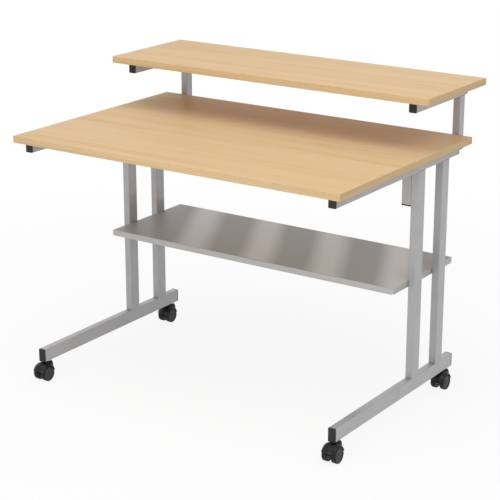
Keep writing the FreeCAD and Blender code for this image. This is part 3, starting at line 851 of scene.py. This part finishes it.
def castorHood(braked):
    half, web = hood["half"], hood["web"]
    blank = hoodShell()
    boss = bmesh.new()
    outline(boss, [(radius, 0, height) for radius, height in hood["boss"]])
    lathe(boss, (0, 0, 1), hood["bossSteps"])
    bmesh.ops.translate(boss, vec=(0, castor["trail"], 0), verts=boss.verts[:])
    tools = [("UNION", boss)]
    for low, high in ((web, 2 * half), (-2 * half, -web)):  # room for a wheel on each side
        room = bmesh.new()
        rod(room, hood["well"], low, high, hood["wellSides"])
        tools.append(("DIFFERENCE", room))
    hub = bmesh.new()
    rod(hub, hood["hub"], -hood["hubHalf"], hood["hubHalf"])
    pin = bmesh.new()
    verts = rod(pin, hood["pin"], hood["pinFloor"], hood["pinTop"])
    standUp = Matrix.Rotation(-math.pi / 2, 3, "Y")
    bmesh.ops.rotate(pin, cent=(0, 0, 0), matrix=standUp, verts=verts)
    bmesh.ops.translate(pin, vec=(0, castor["trail"], 0), verts=verts)
    tools += [("UNION", hub), ("DIFFERENCE", pin)]
    if braked:
        (lowY, lowZ), (highY, highZ) = hood["slot"]
        gap = bmesh.new()
        block(gap, (-hood["slotHalf"], lowY, lowZ), (hood["slotHalf"], highY, highZ))
        bearing = bmesh.new()
        verts = rod(bearing, hood["trunnion"], -half, half, lever["trunnionSides"])
        bmesh.ops.translate(bearing, vec=(0, lever["pivotY"], lever["pivotZ"]), verts=verts)
        tools += [("DIFFERENCE", gap), ("DIFFERENCE", bearing)]
    return carve(blank, tools)


def brakeLever():  # drawn from its pivot
    piece = bmesh.new()
    reach, thick = lever["reach"], lever["thick"]
    paddleBack = -reach + lever["paddle"]
    armFront = paddleBack - 2 * lever["edge"]  # the arm ends inside the paddle
    arm = (lever["half"], armFront, 0)
    paddle = (lever["paddleHalf"], -reach, paddleBack)
    for half, near, far in (arm, paddle):
        part = bmesh.new()
        block(part, (-half, near, -thick), (half, far, thick))
        soften(part, part.edges[:], lever["edge"], lever["edgeSteps"])
        gather(piece, part)
        part.free()
    for y in lever["ribs"]:
        part = bmesh.new()
        block(part, (-lever["ribHalf"], y - lever["ribWidth"], thick - lever["ribRise"]),
              (lever["ribHalf"], y + lever["ribWidth"], thick + lever["ribRise"]))
        soften(part, part.edges[:], lever["ribWidth"] / 2, lever["ribSteps"])
        gather(piece, part)
        part.free()
    rod(piece, lever["barrel"], -lever["barrelHalf"], lever["barrelHalf"])
    rod(piece, lever["trunnion"], -lever["trunnionHalf"], lever["trunnionHalf"],
        lever["trunnionSides"])
    bmesh.ops.recalc_face_normals(piece, faces=piece.faces[:])
    return piece


def makeCastors():
    wheelShape = castorWheel()
    leverShape = brakeLever()
    hoodShapes = {"front": castorHood(braked=True), "rear": castorHood(braked=False)}
    halfTurn = Matrix.Rotation(math.pi, 4, "Z")
    wheelPlace = Matrix.Translation((wheel["inner"], 0, 0))
    leverPlace = Matrix.Translation((0, lever["pivotY"], lever["pivotZ"]))
    for row in rows:
        for side, sign in sideSigns.items():
            node = f"{row}_{side}"
            name = row + side.capitalize()
            axleY = castor["stemY"][row] - castor["trail"]
            axle = Matrix.Translation((sign * castor["x"], axleY, castor["axleZ"]))
            bm = bmesh.new()
            gather(bm, hoodShapes[row], axle)
            evenShading(addPiece(f"{name}Hood", bm, [hoodPlastic],
                                 hood["crease"], [f"{node}_hood"], f"{node}_castor"))
            for hand, turn in (("left", halfTurn), ("right", Matrix())):
                bm = bmesh.new()
                gather(bm, wheelShape, axle @ turn @ wheelPlace)
                addPiece(f"{name}Wheel{hand.capitalize()}", bm, [wheelDisc, wheelTread],
                         wheel["crease"], [f"{node}_wheel_{hand}"],
                         f"{node}_{hand}_wheel")
            if row == "front":
                bm = bmesh.new()
                gather(bm, leverShape, axle @ leverPlace)
                evenShading(addPiece(f"{name}BrakeLever", bm, [hoodPlastic],
                                     lever["crease"], [f"{node}_brake_lever"], f"{node}_brake"))
    for shape in (wheelShape, leverShape, *hoodShapes.values()):
        shape.free()


makeCastors()
print("castors built")


# Studio: white surroundings, a pale floor, soft light from above, in front and the right

studio = {"fill": 0.5, "floorSize": 40, "floorTone": 0.92, "nearGlow": 0.88, "farGlow": 1,
          "near": 0.7, "far": 2.6}


def seenDirectly(tree):  # one for rays from the camera, mirrors and glass
    path = tree.nodes.new("ShaderNodeLightPath")
    result = path.outputs["Is Camera Ray"]
    for name in ("Is Glossy Ray", "Is Transmission Ray"):
        larger = tree.nodes.new("ShaderNodeMath")
        larger.operation = "MAXIMUM"
        tree.links.new(result, larger.inputs[0])
        tree.links.new(path.outputs[name], larger.inputs[1])
        result = larger.outputs["Value"]
    return result


def makeWorld():
    world = bpy.data.worlds.new("studio")
    scene.world = world
    world.use_nodes = True
    tree = world.node_tree
    background = tree.nodes["Background"]
    background.inputs["Color"].default_value = (1, 1, 1, 1)
    strength = span(tree, seenDirectly(tree), (0, 1), (studio["fill"], 1))
    tree.links.new(strength, background.inputs["Strength"])


def floorFinish():  # paint that takes the shadow, under a glow that brings it near white
    material = bpy.data.materials.new("paleFloor")
    material.use_nodes = True
    tree = material.node_tree
    tree.nodes.remove(tree.nodes["Principled BSDF"])
    paint = tree.nodes.new("ShaderNodeBsdfDiffuse")
    paint.inputs["Color"].default_value = (studio["floorTone"],) * 3 + (1,)
    glow = tree.nodes.new("ShaderNodeEmission")
    glow.inputs["Color"].default_value = (1, 1, 1, 1)
    source = tree.nodes.new("ShaderNodeTexCoord")
    away = tree.nodes.new("ShaderNodeVectorMath")  # from the middle of the floor
    away.operation = "LENGTH"
    tree.links.new(source.outputs["Object"], away.inputs[0])
    share = tree.nodes.new("ShaderNodeMath")
    share.operation = "MULTIPLY"
    glowing = span(tree, away.outputs["Value"], (studio["near"], studio["far"]),
                   (studio["nearGlow"], studio["farGlow"]))
    tree.links.new(glowing, share.inputs[0])
    tree.links.new(seenDirectly(tree), share.inputs[1])
    mix = tree.nodes.new("ShaderNodeMixShader")
    tree.links.new(share.outputs["Value"], mix.inputs["Fac"])
    tree.links.new(paint.outputs["BSDF"], mix.inputs[1])
    tree.links.new(glow.outputs["Emission"], mix.inputs[2])
    tree.links.new(mix.outputs["Shader"], tree.nodes["Material Output"].inputs["Surface"])
    return material


def makeFloor():
    bm = bmesh.new()
    bmesh.ops.create_grid(bm, x_segments=1, y_segments=1, size=studio["floorSize"] / 2)
    mesh = bpy.data.meshes.new("studioFloor")
    bm.to_mesh(mesh)
    bm.free()
    floor = bpy.data.objects.new("studioFloor", mesh)
    scene.collection.objects.link(floor)
    mesh.materials.append(floorFinish())


lamps = {
    "overhead": {"spot": (-0.2, -0.7, 3.6), "aim": (0, 0, 0.8), "size": 2.4, "power": 35},
    "front": {"spot": (0.5, -3.5, 1.2), "aim": (0, 0, 0.4), "size": 1.6, "power": 29},
    "right": {"spot": (2.2, -0.9, 3.1), "aim": (0.2, 0, 0.6), "size": 1.6, "power": 19},
}


def makeLamps():
    for name, lamp in lamps.items():
        data = bpy.data.lights.new(name, "AREA")
        data.shape = "SQUARE"
        data.size = lamp["size"]
        data.energy = lamp["power"]
        made = bpy.data.objects.new(name, data)
        scene.collection.objects.link(made)
        made.location = lamp["spot"]
        way = Vector(lamp["aim"]) - Vector(lamp["spot"])
        made.rotation_euler = way.to_track_quat("-Z", "Y").to_euler()


viewpoint = {"spot": (2.7381, -4.0118, 2.0082), "down": 17.8, "round": 34.3, "focal": 1577.8,
             "image": 500, "sensor": 36, "farthest": 100}


def makeCamera():
    data = bpy.data.cameras.new("photoView")
    data.sensor_width = viewpoint["sensor"]
    data.lens = viewpoint["focal"] / viewpoint["image"] * viewpoint["sensor"]
    data.clip_end = viewpoint["farthest"]
    camera = bpy.data.objects.new("photoView", data)
    scene.collection.objects.link(camera)
    camera.location = viewpoint["spot"]
    camera.rotation_euler = (math.radians(90 - viewpoint["down"]), 0,
                             math.radians(viewpoint["round"]))
    scene.camera = camera


makeWorld()
makeFloor()
makeLamps()
makeCamera()
scene.view_settings.view_transform = "Standard"
print("studio set")
